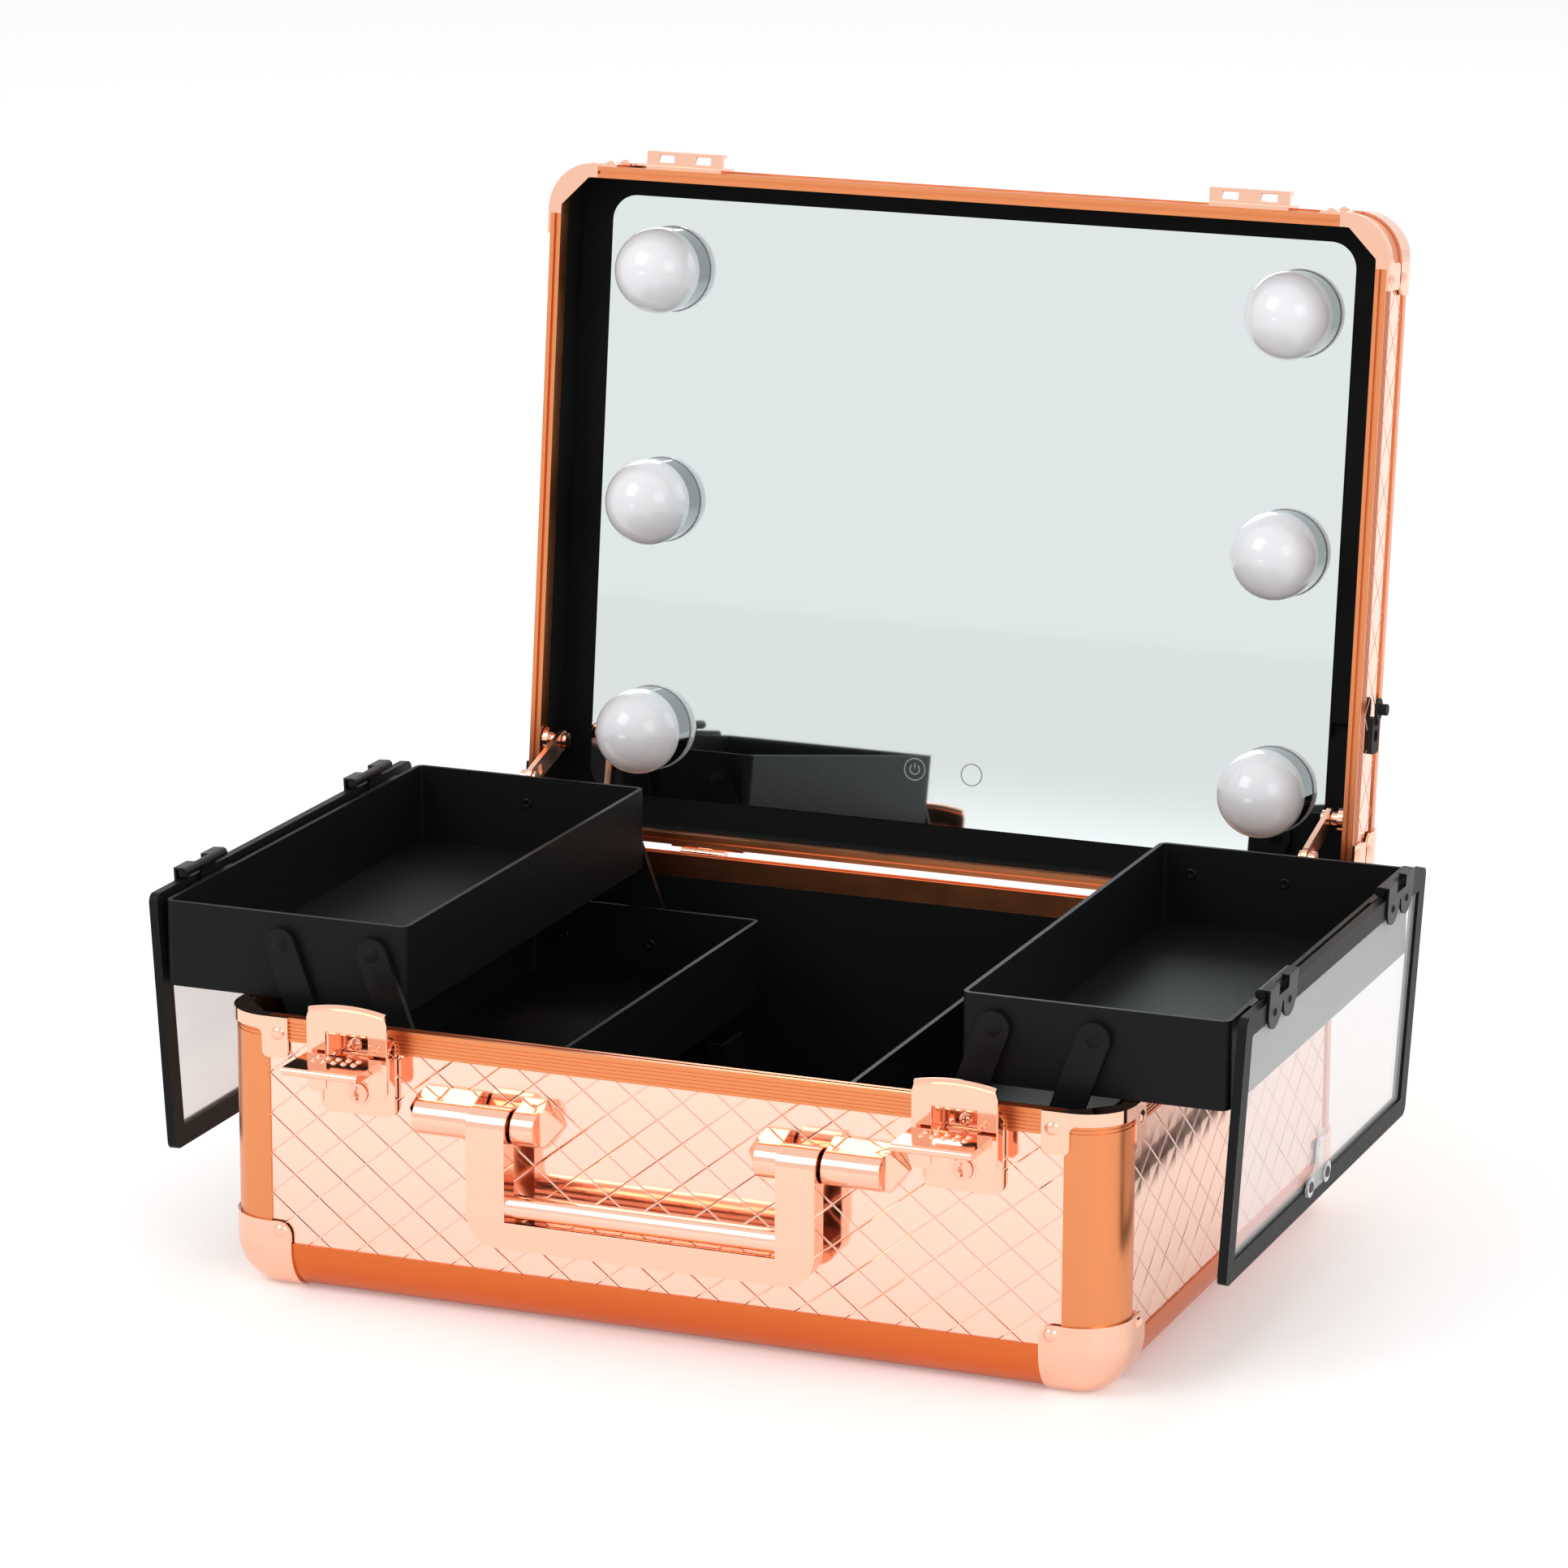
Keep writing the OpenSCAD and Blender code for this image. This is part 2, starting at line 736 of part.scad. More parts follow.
module lid_corner_brackets() {
  color("#f0b091") opened() four() translate([0, 0, 2 * base_h]) mirror([0, 0, 1])
    corner_bracket(base_h - bracket_band, base_h, base_h - bracket_band, base_h - cover_t, base_h - gusset_t);
}

module lid_corner_caps() {
  color("#f0b091") opened() translate([0, 0, lid_top]) mirror([0, 0, 1]) corner_caps();
}

module lid_rivets() {
  color("#f6c4aa") opened() {
    translate([0, 0, lid_top]) mirror([0, 0, 1]) corner_rivets(cap_rivet_in, cap_rivet_z);
    corner_rivets(rim_rivet_in, base_h + 5);
  }
}

module lid_lining() {
  color("#1a1a1c") opened() difference() {
    union() {
      translate([0, 0, base_h + lid_rim_h]) linear_extrude(mirror_z + 0.6 - base_h - lid_rim_h) difference() {
        lining_outline(0);
        lining_outline(lining_t);
      }
      translate([0, 0, mirror_z + 0.6]) linear_extrude(mirror_t + 1.4) lining_outline(0);
    }
    translate([0, mirror_y, mirror_z]) linear_extrude(mirror_t)
      round_rect(mirror_w / 2, mirror_d / 2, 12);
    inlet_hole();
  }
}

module mirror_glass() {
  color("#b9c6d2") opened() translate([0, mirror_y, mirror_z]) linear_extrude(mirror_t)
    round_rect(mirror_w / 2, mirror_d / 2, 12);
}

module bulb_places() {
  for (x = [-1, 1], k = [-1:1]) translate([x * bulb_cols / 2, bulb_y + k * bulb_pitch, 0]) children();
}

module bulb_collars() {
  color("#d8dce0") opened() bulb_places() difference() {
    translate([0, 0, bulb_cut]) cylinder(d = bulb_d - 1, h = mirror_z - bulb_cut);
    translate([0, 0, bulb_cut - 1]) cylinder(d = bulb_d - 1 - 2 * collar_wall, h = mirror_z - bulb_cut + 2);
  }
}

module bulbs() {
  color("#fffdf6") opened() bulb_places() {
    intersection() {
      translate([0, 0, bulb_z]) sphere(d = bulb_d);
      translate([0, 0, bulb_cut - far]) cylinder(r = far, h = far);
    }
    translate([0, 0, bulb_cut - 1]) cylinder(d = bulb_d - 1.2 - 2 * collar_wall, h = mirror_z - bulb_cut + 1);
  }
}

module lid_catch() {
  difference() {
    union() {
      block([-18.5, -half_d - 2, base_h + 0.5], [18.5, -half_d, base_h + 16]);
      block([-18.5, -half_d, base_h + lid_rim_h], [18.5, -half_d + recess, base_h + 16]);
      block([-18.5, -half_d - 8.5, base_h + 1], [18.5, -half_d - 2, base_h + 4]);
      block([-18.5, -half_d - 8.5, base_h + 4], [18.5, -half_d - 6.7, base_h + 7]);
    }
    left_too() block([5, -half_d - 7, base_h], [13, -half_d - 3.5, base_h + 5]);
  }
}

module lid_catches() {
  color("#f0b091") opened() left_too() translate([latch_x, 0, 0]) lid_catch();
}

module power_inlet() {
  color("#1a1a1c") opened() difference() {
    union() {
      rod_x(half_w - 10, half_w, inlet_y, inlet_z, inlet_r);
      translate([half_w - recess, inlet_y, inlet_z]) rotate([90, 0, 90]) linear_extrude(2) round_rect(8, 5.5, 2);
    }
    rod_x(half_w - 6, half_w + 5, inlet_y, inlet_z, 2.75);
  }
}

module inlet_cap() {
  color("#1a1a1c") opened() {
    translate([half_w + 1.2, inlet_y - 12, inlet_z]) rotate([90, 0, 90]) linear_extrude(1.2) {
      round_rect(5, 4.5, 4.4);
      translate([2, -1.5]) square([5, 3]);
    }
    rod_x(half_w + 2.4, half_w + 6, inlet_y - 12, inlet_z, 2.6);
  }
}

// ---- lid stays ----

module stay_bracket() {
  difference() {
    rod_x(slide_x + 3.5, half_w - lining_in, stay_lid_y, stay_lid_z, 6);
  }
  rod_x(stay_x + stay_t / 2 + play, slide_x + 3.5, stay_lid_y, stay_lid_z, 3.5);
  rod_x(stay_x - stay_t / 2 - play, slide_x + 1, stay_lid_y, stay_lid_z, 2);
  rod_x(stay_x - stay_t / 2 - play - 1.6, stay_x - stay_t / 2 - play, stay_lid_y, stay_lid_z, 3.5);
}

module stay_brackets() {
  color("#f0b091") left_too() stay_bracket();
}

module stay_arm() {
  translate([stay_x - stay_t / 2, stay_lid_y, stay_lid_z]) rotate([stay_angle, 0, 0])
    rotate([90, 0, 90]) linear_extrude(stay_t) difference() {
      union() {
        circle(stay_r);
        translate([-stay_slot_to + 2.5, -stay_r]) square([stay_slot_to - 2.5, 2 * stay_r]);
        translate([-stay_slot_to + 2.5, 0]) circle(stay_r);
      }
      circle(2 + run);
      translate([-stay_slot_to, -stay_slot_w / 2]) square([stay_slot_to - stay_slot_from, stay_slot_w]);
    }
}

module stay_arm_right() {
  color("#e9b79c") stay_arm();
}

module stay_arm_left() {
  color("#e9b79c") mirror([1, 0, 0]) stay_arm();
}

module stay_slide() {
  block([slide_x, stay_pin_y - slide_r, slide_low], [slide_x + slide_t, stay_pin_y + slide_r, stay_pin_z]);
  rod_x(slide_x, slide_x + slide_t, stay_pin_y, stay_pin_z, slide_r + 0.4);
  rod_x(stay_x - stay_t / 2 - play, slide_x + 1, stay_pin_y, stay_pin_z, stay_pin_r);
  rod_x(stay_x - stay_t / 2 - play - 1.2, stay_x - stay_t / 2 - play, stay_pin_y, stay_pin_z, 3.3);
}

module stay_slide_right() {
  color("#e9b79c") stay_slide();
}

module stay_slide_left() {
  color("#e9b79c") mirror([1, 0, 0]) stay_slide();
}

module stay_guide() {
  intersection() {
    difference() {
      block([slide_x - 1.6, stay_pin_y - slide_r - 1.4, guide_low],
        [half_w - lining_in, stay_pin_y + slide_r + 1.4, guide_top]);
      block([slide_x - play, stay_pin_y - slide_r - play, guide_low - 1],
        [slide_x + slide_t + play, stay_pin_y + slide_r + play, guide_top + 1]);
    }
    linear_extrude(guide_top + 1) lining_outline(lining_t);
  }
}

module stay_guides() {
  color("#55504e") left_too() stay_guide();
}

// ---- trays ----

module tray_box(x, z, d) {
  translate([x, tray_y, z]) difference() {
    linear_extrude(tray_h) round_rect(tray_w / 2, d / 2, tray_r);
    translate([0, 0, tray_t]) linear_extrude(tray_h)
      round_rect(tray_w / 2 - tray_t, d / 2 - tray_t, tray_r - tray_t);
  }
}

// link pins, each with its rivet head
module upper_tray() {
  tray_box(tray_x, tray_z, tray_d);
  for (x = [up_inner_x, up_inner_x + pivot_gap]) {
    rod_y(link_front - link_t - 0.2, tray_front, x, up_z, link_pin_r);
    rod_y(tray_back, link_back + link_t + 0.2, x, up_z, link_pin_r);
    translate([x, link_front - link_t - 0.2, up_z]) rotate([90, 0, 0]) dome(link_head_r, 0.8);
    translate([x, link_back + link_t + 0.2, up_z]) rotate([-90, 0, 0]) dome(link_head_r, 0.8);
  }
}

module lower_tray() {
  tray_box(low_tray_x, low_tray_z, low_tray_d);
  for (x = [low_x, low_x + pivot_gap]) {
    mx = x + link_dx / 2;
    mz = low_z + link_dz / 2;
    rod_y(link_front + play, tray_y - low_tray_d / 2, mx, mz, 4);
    rod_y(link_front - link_t, tray_y - low_tray_d / 2, mx, mz, link_pin_r);
    rod_y(tray_y + low_tray_d / 2, link_back - play, mx, mz, 4);
    rod_y(tray_y + low_tray_d / 2, link_back + link_t, mx, mz, link_pin_r);
  }
}

module upper_tray_right() {
  color("#202022") upper_tray();
}

module upper_tray_left() {
  color("#202022") mirror([1, 0, 0]) upper_tray();
}

module lower_tray_right() {
  color("#202022") lower_tray();
}

module lower_tray_left() {
  color("#202022") mirror([1, 0, 0]) lower_tray();
}

module link_bar() {
  rotate([0, link_lean, 0]) rotate([90, 0, 0]) linear_extrude(link_t) difference() {
    union() {
      circle(link_r);
      translate([-link_r, 0]) square([2 * link_r, link_len]);
      translate([0, link_len]) circle(link_r);
    }
    for (k = [0:2]) translate([0, k * link_len / 2]) circle(link_pin_r + run);
  }
}

module link_pair(x) {
  translate([x, link_front, low_z]) link_bar();
  translate([x, link_back + link_t, low_z]) link_bar();
}

module inner_links_right() {
  color("#26262a") link_pair(low_x);
}

module inner_links_left() {
  color("#26262a") mirror([1, 0, 0]) link_pair(low_x);
}

module outer_links_right() {
  color("#26262a") link_pair(low_x + pivot_gap);
}

module outer_links_left() {
  color("#26262a") mirror([1, 0, 0]) link_pair(low_x + pivot_gap);
}

// channel that carries the lower ends of one set of links
module link_bracket(wall, face, side) {
  lo = min(wall, face);
  hi = max(wall, face);
  plate = side > 0 ? [face, face + 2] : [face - 2, face];
  block([low_x - 10, plate[0], low_z - 10], [low_x + pivot_gap + 10, plate[1], low_z + 10]);
  for (x = [low_x - 10, low_x + pivot_gap + 8]) block([x, lo, low_z - 10], [x + 2, hi, low_z + 10]);
}

// the feet follow the chamfer of the lining that they stand on
module link_brackets() {
  f = link_front - link_t - link_gap;
  b = link_back + link_t + link_gap;
  color("#55504e") left_too() {
    intersection() {
      union() {
        link_bracket(-half_d + lining_in, f, -1);
        link_bracket(half_d - lining_in, b, 1);
      }
      tub(lining_t, core_in + lining_t);
    }
    for (x = [low_x, low_x + pivot_gap]) {
      rod_y(f - 1, link_front + 0.3, x, low_z, link_pin_r);
      rod_y(link_back - 0.3, b + 1, x, low_z, link_pin_r);
    }
  }
}

// ---- tray flaps ----

// hanging flap frame of reference: hinge axis at the origin, down is -Z, outwards is +X
module at_flap() {
  translate([flap_axis_x, 0, flap_axis_z]) rotate([0, flap_lean, 0]) children();
}

module flap_plate(inset, thick, face) {
  translate([face - thick, tray_y, -(flap_start + flap_end) / 2]) rotate([90, 0, 90]) linear_extrude(thick)
    round_rect(tray_d / 2 - inset, (flap_end - flap_start) / 2 - inset, max(4 - inset, 1));
}

module flap_frame() {
  at_flap() difference() {
    flap_plate(0, flap_t, flap_face);
    flap_plate(flap_border, flap_t + 1, flap_face + 0.5);
    flap_plate(flap_border - 3, 1.2, flap_face - flap_t / 2 + 0.6);
  }
}

module flap_window() {
  at_flap() flap_plate(flap_border - 3, 1.2, flap_face - flap_t / 2 + 0.6);
}

module flap_leaf(y) {
  third = flap_hinge_l / 3;
  at_flap() translate([0, y, 0]) {
    block([flap_face, -flap_hinge_l / 2, -7], [flap_face + leaf_t, flap_hinge_l / 2, -flap_start]);
    back_too() block([flap_face, third / 2 + 0.2, -flap_start - 1],
      [flap_face + leaf_t, flap_hinge_l / 2, flap_barrel_r - leaf_t]);
    back_too() translate([flap_face, 10, -7]) rotate([0, 90, 0]) intersection() {
      cylinder(r = 9, h = leaf_t);
      translate([0, -9, 0]) cube([9, 18, leaf_t]);
    }
    difference() {
      union() {
        back_too() rod_y(third / 2 + 0.2, flap_hinge_l / 2, 0, 0, flap_barrel_r);
        back_too() block([0, third / 2 + 0.2, flap_barrel_r - leaf_t],
          [flap_face + leaf_t, flap_hinge_l / 2, flap_barrel_r]);
      }
      rod_y(-far, far, 0, 0, flap_pin_r + run);
    }
    back_too() translate([flap_face + leaf_t, 10, -9]) rotate([0, 90, 0]) dome(2, 0.8);
  }
}

module flap_hinge() {
  flap_leaf(flap_hinge_front);
  flap_leaf(flap_hinge_back);
  at_flap() for (y = [clasp_y - 11.5, clasp_y + 11.5])
    translate([flap_face, y, -flap_end + 10]) rotate([0, 90, 0]) {
      cylinder(r = 4, h = 0.5);
      translate([0, 0, 0.5]) dome(2.4, 1);
    }
}

// leaf on the tray's wall; its middle knuckle stands clear of the flap when that lies over the tray
module tray_leaf(y) {
  third = flap_hinge_l / 3;
  top = tray_z + tray_h;
  strip_x = flap_axis_x - leaf_t - play;
  translate([0, y, 0]) {
    block([tray_out_x, -flap_hinge_l / 2, top - 10], [tray_out_x + leaf_t, flap_hinge_l / 2, top]);
    block([tray_out_x, -third / 2, top - 2], [strip_x, third / 2, top - 2 + leaf_t]);
    block([strip_x - leaf_t, -third / 2, top - 2], [strip_x, third / 2, flap_axis_z]);
    rod_y(-third / 2, third / 2, flap_axis_x, flap_axis_z, flap_barrel_r);
    rod_y(-flap_hinge_l / 2, flap_hinge_l / 2, flap_axis_x, flap_axis_z, flap_pin_r);
  }
}

module tray_hinge() {
  tray_leaf(flap_hinge_front);
  tray_leaf(flap_hinge_back);
}

module flap_frame_right() {
  color("#202022") flap_frame();
}

module flap_frame_left() {
  color("#202022") mirror([1, 0, 0]) flap_frame();
}

module flap_window_right() {
  color([0.85, 0.88, 0.9, 0.35]) flap_window();
}

module flap_window_left() {
  color([0.85, 0.88, 0.9, 0.35]) mirror([1, 0, 0]) flap_window();
}

module flap_hinge_right() {
  color("#f0b091") flap_hinge();
}

module flap_hinge_left() {
  color("#f0b091") mirror([1, 0, 0]) flap_hinge();
}

module tray_hinge_right() {
  color("#f0b091") tray_hinge();
}

module tray_hinge_left() {
  color("#f0b091") mirror([1, 0, 0]) tray_hinge();
}

base_wall_panels();
base_bottom_panel();
base_lining();
base_corner_posts();
base_edge_rails();
base_rim();
base_corner_brackets();
base_corner_caps();
base_rivets();
handle_mounts();
handle_frame();
handle_grip();
latch_plates();
latch_lever_left();
latch_lever_right();
latch_bail_left();
latch_bail_right();
lock_barrel_left();
lock_barrel_right();
hinge_base_leaves();
hinge_lid_leaves();
lid_back_panel();
lid_wall_panels();
lid_corner_posts();
lid_edge_rails();
lid_rim();
lid_corner_brackets();
lid_corner_caps();
lid_rivets();
lid_lining();
mirror_glass();  // mirror
bulb_collars();
bulbs();
lid_catches();
power_inlet();
inlet_cap();
stay_brackets();
stay_arm_left();
stay_arm_right();
stay_slide_left();
stay_slide_right();
stay_guides();
upper_tray_left();
upper_tray_right();
lower_tray_left();
lower_tray_right();
inner_links_left();
inner_links_right();
outer_links_left();
outer_links_right();
link_brackets();
flap_frame_left();
flap_frame_right();
flap_window_left();
flap_window_right();
flap_hinge_left();
flap_hinge_right();
tray_hinge_left();
tray_hinge_right();
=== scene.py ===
import json
import math

import bmesh
import bpy
from mathutils import Matrix, Vector


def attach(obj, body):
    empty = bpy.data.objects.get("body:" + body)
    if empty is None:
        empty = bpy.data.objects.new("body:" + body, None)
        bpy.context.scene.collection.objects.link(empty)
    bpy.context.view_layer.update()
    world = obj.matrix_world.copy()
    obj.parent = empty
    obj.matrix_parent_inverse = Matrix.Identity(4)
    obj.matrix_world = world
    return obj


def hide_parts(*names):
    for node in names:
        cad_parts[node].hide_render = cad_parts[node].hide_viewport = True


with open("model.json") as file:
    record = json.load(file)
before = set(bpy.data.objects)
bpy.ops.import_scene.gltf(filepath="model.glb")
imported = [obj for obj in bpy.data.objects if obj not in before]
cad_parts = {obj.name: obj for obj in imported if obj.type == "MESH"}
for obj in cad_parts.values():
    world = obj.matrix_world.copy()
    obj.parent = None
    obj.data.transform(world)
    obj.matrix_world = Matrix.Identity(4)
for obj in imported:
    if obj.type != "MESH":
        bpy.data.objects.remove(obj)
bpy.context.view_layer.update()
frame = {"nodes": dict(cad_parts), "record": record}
nodes = frame["nodes"]
print("frame loaded:", len(nodes), "nodes")

mm = 0.001
sides = {"left": -1, "right": 1}

# lid frame: closed millimetres to where the open lid stands

lidHinge = {"y": 157.97, "z": 121.45, "angle": 96.6}


def lidMatrix():
    pivot = Matrix.Translation((0, lidHinge["y"] * mm, lidHinge["z"] * mm))
    return pivot @ Matrix.Rotation(-math.radians(lidHinge["angle"]), 4, "X") @ pivot.inverted()


opened = lidMatrix()

# material tools


def newMaterial(name):
    material = bpy.data.materials.new(name)
    material.use_nodes = True
    tree = material.node_tree
    shader = tree.nodes["Principled BSDF"]
    return material, tree, shader


def setSockets(shader, **values):
    names = {"colour": "Base Color", "metallic": "Metallic", "roughness": "Roughness", "coat": "Coat Weight",
             "specular": "Specular IOR Level", "ior": "IOR", "alpha": "Alpha",
             "glow": "Emission Strength", "glowColour": "Emission Color",
             "subsurface": "Subsurface Weight"}
    for key, value in values.items():
        socket = shader.inputs[names[key]]
        socket.default_value = (*value, 1) if isinstance(value, tuple) else value


def addNode(tree, kind, **fields):
    node = tree.nodes.new(kind)
    for key, value in fields.items():
        setattr(node, key, value)
    return node


def mathStep(tree, operation, first, second=None, clamp=False):
    node = addNode(tree, "ShaderNodeMath", operation=operation, use_clamp=clamp)
    for slot, value in enumerate((first, second)):
        if value is None:
            continue
        if isinstance(value, (int, float)):
            node.inputs[slot].default_value = value
        else:
            tree.links.new(value, node.inputs[slot])
    return node.outputs[0]


def objectCoords(tree, closedLid=False):
    coords = addNode(tree, "ShaderNodeTexCoord")
    if not closedLid:
        return coords.outputs["Object"], coords.outputs["Normal"]
    closing = opened.inverted()
    place = addNode(tree, "ShaderNodeMapping")
    place.inputs["Location"].default_value = closing.to_translation()
    place.inputs["Rotation"].default_value = closing.to_euler()
    tree.links.new(coords.outputs["Object"], place.inputs["Vector"])
    return place.outputs[0], coords.outputs["Normal"]


def addRoughness(tree, shader, coords, low, high, scale, detail=4.0):
    noise = addNode(tree, "ShaderNodeTexNoise")
    noise.inputs["Scale"].default_value = scale
    noise.inputs["Detail"].default_value = detail
    tree.links.new(coords, noise.inputs["Vector"])
    spread = addNode(tree, "ShaderNodeMapRange")
    spread.inputs["To Min"].default_value = low
    spread.inputs["To Max"].default_value = high
    tree.links.new(noise.outputs["Fac"], spread.inputs["Value"])
    tree.links.new(spread.outputs[0], shader.inputs["Roughness"])
    return noise


def addBump(tree, shader, height, distance, strength=1.0):
    bump = addNode(tree, "ShaderNodeBump")
    bump.inputs["Distance"].default_value = distance
    bump.inputs["Strength"].default_value = strength
    tree.links.new(height, bump.inputs["Height"])
    tree.links.new(bump.outputs[0], shader.inputs["Normal"])


def tintColour(tree, shader, factor, plain, other):
    mix = addNode(tree, "ShaderNodeMix", data_type="RGBA")
    mix.inputs["A"].default_value = (*plain, 1)
    mix.inputs["B"].default_value = (*other, 1)
    tree.links.new(factor, mix.inputs["Factor"])
    colour = [s for s in mix.outputs if s.type == "RGBA"][0]
    tree.links.new(colour, shader.inputs["Base Color"])


# finishes

# Painted shade: the line colour and its half width darken the panel towards each groove line, standing in
# for the shade in the grooves.
quilt = {"wide": 22.2, "tall": 17.7, "groove": 0.45, "depth": 0.25, "colour": (0.98, 0.64, 0.51),
         "line": (0.9, 0.56, 0.43), "shadeHalfWidth": 0.28, "pillow": 6.0, "swell": 0.3, "sideways": 0.6,
         "polish": (0.07, 0.15), "mottle": 35}


def quiltedPanel(name, closedLid, lying):
    material, tree, shader = newMaterial(name)
    setSockets(shader, metallic=1.0)
    coords, normal = objectCoords(tree, closedLid)
    parts = addNode(tree, "ShaderNodeSeparateXYZ")
    tree.links.new(coords, parts.inputs[0])
    x, y, z = parts.outputs
    if lying:
        across, up = x, y
    else:
        facing = addNode(tree, "ShaderNodeSeparateXYZ")
        tree.links.new(normal, facing.inputs[0])
        turned = mathStep(tree, "ABSOLUTE", facing.outputs[0])
        onSide = mathStep(tree, "GREATER_THAN", turned, quilt["sideways"])
        onFront = mathStep(tree, "SUBTRACT", 1.0, onSide)
        across = mathStep(tree, "ADD", mathStep(tree, "MULTIPLY", x, onFront),
                          mathStep(tree, "MULTIPLY", y, onSide))
        up = z
    across = mathStep(tree, "DIVIDE", across, quilt["wide"] * mm)
    up = mathStep(tree, "DIVIDE", up, quilt["tall"] * mm)
    pitch = math.hypot(1 / quilt["wide"], 1 / quilt["tall"])
    gaps = []
    for turn in ("ADD", "SUBTRACT"):
        cell = mathStep(tree, "FRACT", mathStep(tree, turn, across, up))
        off = mathStep(tree, "ABSOLUTE", mathStep(tree, "SUBTRACT", cell, 0.5))
        gaps.append(mathStep(tree, "DIVIDE", off, pitch))
    near = mathStep(tree, "MINIMUM", *gaps)
    groove = mathStep(tree, "DIVIDE", near, quilt["groove"], clamp=True)
    pillow = mathStep(tree, "MULTIPLY", mathStep(tree, "DIVIDE", near, quilt["pillow"], clamp=True),
                      quilt["swell"])
    addBump(tree, shader, mathStep(tree, "ADD", groove, pillow), quilt["depth"] * mm)
    # Painted shade: the colour darkens towards each groove line, in place of the shade that falls into the
    # grooves.
    grooveShade = mathStep(tree, "SUBTRACT", 1.0, mathStep(tree, "DIVIDE", near, quilt["shadeHalfWidth"], clamp=True))
    tintColour(tree, shader, grooveShade, quilt["colour"], quilt["line"])
    addRoughness(tree, shader, coords, *quilt["polish"], quilt["mottle"])
    return material


def plainMetal(name, colour, low, high, scale=40, grainDepth=0.0, stretch=None):
    material, tree, shader = newMaterial(name)
    setSockets(shader, colour=colour, metallic=1.0)
    coords, _ = objectCoords(tree)
    if stretch:
        place = addNode(tree, "ShaderNodeMapping")
        place.inputs["Scale"].default_value = stretch
        tree.links.new(coords, place.inputs["Vector"])
        coords = place.outputs[0]
    noise = addRoughness(tree, shader, coords, low, high, scale)
    if grainDepth:
        addBump(tree, shader, noise.outputs["Fac"], grainDepth * mm, 0.5)
    return material


plastic = {"specular": 0.12, "detail": 6.0, "bump": 0.6}


def blackPlastic(name, colour, low, high, grain, depth):
    material, tree, shader = newMaterial(name)
    setSockets(shader, colour=colour, specular=plastic["specular"])
    coords, _ = objectCoords(tree)
    noise = addRoughness(tree, shader, coords, low, high, grain, plastic["detail"])
    addBump(tree, shader, noise.outputs["Fac"], depth * mm, plastic["bump"])
    return material


def clearSheet(name):
    material, tree, shader = newMaterial(name)
    setSockets(shader, colour=(0.93, 0.95, 0.96), alpha=0.32, ior=1.49)
    coords, _ = objectCoords(tree)
    addRoughness(tree, shader, coords, 0.04, 0.1, 20)
    return material


def opalBulb(name):
    material, tree, shader = newMaterial(name)
    # Painted light: a faint glow brightens the opal globes, which are not lamps in this scene.
    setSockets(shader, colour=(0.8, 0.79, 0.82), subsurface=0.2, glow=0.04, glowColour=(1.0, 0.98, 0.96),
               coat=0.3)
    coords, _ = objectCoords(tree)
    addRoughness(tree, shader, coords, 0.12, 0.2, 25)
    return material


def mirrorGlass(name):
    material, tree, shader = newMaterial(name)
    setSockets(shader, colour=(0.75, 0.805, 0.8), metallic=1.0)
    coords, _ = objectCoords(tree)
    addRoughness(tree, shader, coords, 0.015, 0.03, 6)
    return material


finishes = {
    "panelWall": quiltedPanel("quiltedWall", False, False),
    "panelFlat": quiltedPanel("quiltedUnderside", False, True),
    "panelLidWall": quiltedPanel("quiltedLidWall", True, False),
    "panelLidBack": quiltedPanel("quiltedLidBack", True, True),
    "rail": plainMetal("satinCopperRail", (0.76, 0.27, 0.11), 0.24, 0.36, 60, 0.01),
    # Painted shade: the bottom rails take a darker, more saturated copy of the rail copper, standing in for
    # the shaded floor they reflect.
    "shadedBottomRail": plainMetal("shadedCopperRail", (0.69, 0.165, 0.045), 0.26, 0.38, 60, 0.01),
    "fitting": plainMetal("polishedRoseGold", (0.95, 0.56, 0.41), 0.05, 0.12, 30),
    "grip": plainMetal("polishedGrip", (0.96, 0.6, 0.46), 0.08, 0.14, 30),
    "lining": blackPlastic("blackLining", (0.004, 0.0045, 0.0045), 0.65, 0.85, 900, 0.04),
    "tray": blackPlastic("satinTrayBlack", (0.006, 0.0065, 0.007), 0.38, 0.52, 400, 0.02),
    "window": clearSheet("clearWindow"),
    "mirror": mirrorGlass("silveredMirror"),
    # Painted reflection: the collar chrome's base colour is set dark to stand in for the dark surroundings
    # it reflects.
    "collar": plainMetal("collarChrome", (0.3, 0.32, 0.33), 0.05, 0.12),
    "bulb": opalBulb("opalGlobe"),
    "link": blackPlastic("blackEnamel", (0.007, 0.0075, 0.008), 0.26, 0.36, 200, 0.01),
    "stay": plainMetal("brushedStay", (0.9, 0.52, 0.38), 0.18, 0.3, 120, 0.01, (0.2, 1, 1)),
    "bracket": plainMetal("greyPaintedSteel", (0.12, 0.11, 0.11), 0.4, 0.5, 80),
    "lock": plainMetal("lockFace", (0.88, 0.5, 0.37), 0.1, 0.18, 80),
    "mark": blackPlastic("greyPrint", (0.34, 0.36, 0.36), 0.5, 0.6, 300, 0.005),
    "washer": plainMetal("brightSteel", (0.62, 0.62, 0.63), 0.2, 0.32, 90),
    "rubber": blackPlastic("blackRubber", (0.02, 0.02, 0.02), 0.5, 0.65, 600, 0.03),
}

nodeFinish = {"base_wall_panels": "panelWall", "base_bottom_panel": "panelFlat",
              "lid_wall_panels": "panelLidWall", "lid_back_panel": "panelLidBack",
              "base_edge_rails": "shadedBottomRail", "flap_hinge_left": "link", "flap_hinge_right": "link",
              "tray_hinge_left": "link", "tray_hinge_right": "link"}


